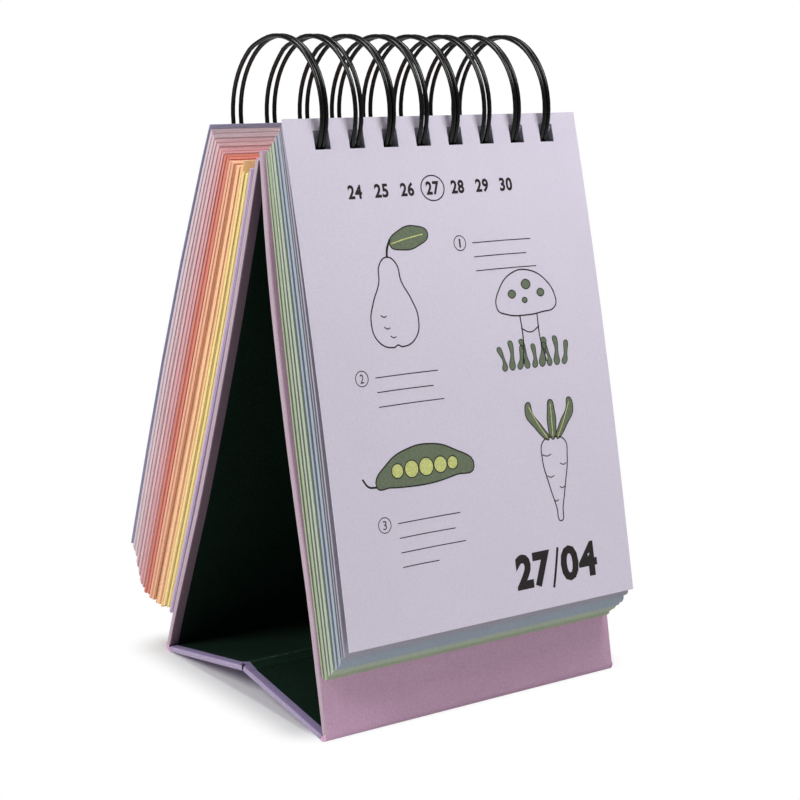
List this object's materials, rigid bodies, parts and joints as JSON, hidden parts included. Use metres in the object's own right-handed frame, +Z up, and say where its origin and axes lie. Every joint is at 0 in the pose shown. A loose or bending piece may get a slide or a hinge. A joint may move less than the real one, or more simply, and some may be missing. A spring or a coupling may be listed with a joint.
{
  "type": "desk flip calendar",
  "caption": "Wire-bound page-a-day desk calendar on a folding paper-wrapped board easel, with leaves in month blocks front and back.",
  "frame": {"origin": "on the surface the calendar stands on, under the middle of its overall box", "axes": "+Z up, +Y from the day leaf towards the turned leaves at the back, +X to the right when the day leaf is read"},
  "size_m": [0.118, 0.126, 0.2049],
  "materials": {
    "grey_board": "raw grey bookbinding board",
    "wrap_paper": "matt textured covering paper",
    "liner_paper": "matt dark lining paper",
    "wire": "nylon-coated steel wire, satin black",
    "cover_card": "matt card",
    "yellow_paper": "uncoated paper",
    "orange_paper": "uncoated paper",
    "peach_paper": "uncoated paper",
    "light_coral_paper": "uncoated paper",
    "coral_paper": "uncoated paper",
    "pink_paper": "uncoated paper",
    "dusty_pink_paper": "uncoated paper",
    "mauve_paper": "uncoated paper",
    "slate_lilac_paper": "uncoated paper",
    "grey_lilac_paper": "uncoated paper",
    "blue_grey_paper": "uncoated paper",
    "grey_green_paper": "uncoated paper",
    "green_paper": "uncoated paper",
    "lilac_paper": "uncoated paper"
  },
  "bodies": {
    "easel_front": {"front_board_core": "grey_board", "front_board_wrap": "wrap_paper", "front_board_liner": "liner_paper", "front_foot_hinge": "wrap_paper", "leaves_december": "green_paper", "leaves_november": "grey_green_paper", "leaves_october": "blue_grey_paper", "leaves_september": "grey_lilac_paper"},
    "base_front": {"base_front_core": "grey_board", "base_front_wrap": "wrap_paper", "base_front_liner": "liner_paper", "base_crease_hinge": "liner_paper"},
    "base_rear": {"base_rear_core": "grey_board", "base_rear_wrap": "wrap_paper", "base_rear_liner": "liner_paper"},
    "easel_rear": {"rear_board_core": "grey_board", "rear_board_wrap": "wrap_paper", "rear_board_liner": "liner_paper", "rear_foot_hinge": "wrap_paper", "cover_card": "cover_card", "leaves_january": "yellow_paper", "leaves_february": "orange_paper", "leaves_march": "peach_paper", "leaves_april": "light_coral_paper", "leaves_may": "coral_paper", "leaves_june": "pink_paper", "leaves_july": "dusty_pink_paper", "leaves_august": "mauve_paper", "leaves_september_turned": "slate_lilac_paper"},
    "binding": {"binding_wire": "wire"},
    "front_leaf": {"front_leaf": "lilac_paper"}
  },
  "joints": [
    {"name": "base_front_fold", "type": "hinge", "parent": "easel_front", "child": "base_front", "pos_m": [0, -0.05298, 0.00195], "axis": [1, 0, 0], "range_deg": [0, 61], "deforming": ["binding_wire"]},
    {"name": "crease_fold", "type": "hinge", "parent": "base_front", "child": "base_rear", "pos_m": [0, -0.00968, 0.00771], "axis": [1, 0, 0], "range_deg": [-153.1, 0]},
    {"name": "rear_fold", "type": "hinge", "parent": "base_rear", "child": "easel_rear", "pos_m": [0, 0.03362, 0.00195], "axis": [1, 0, 0], "range_deg": [0, 63.4]},
    {"name": "wire_play", "type": "hinge", "parent": "easel_front", "child": "binding", "pos_m": [0, 0.00182, 0.1809], "axis": [1, 0, 0], "range_deg": [-4, 1]},
    {"name": "leaf_turn", "type": "hinge", "parent": "easel_front", "child": "front_leaf", "pos_m": [0, 0.00182, 0.1809], "axis": [-1, 0, 0], "range_deg": [0, 190]}
  ],
  "couplings": [
    {"joint": "crease_fold", "follows": "base_front_fold", "ratio": -2.4142},
    {"joint": "rear_fold", "follows": "base_front_fold", "ratio": 1}
  ]
}
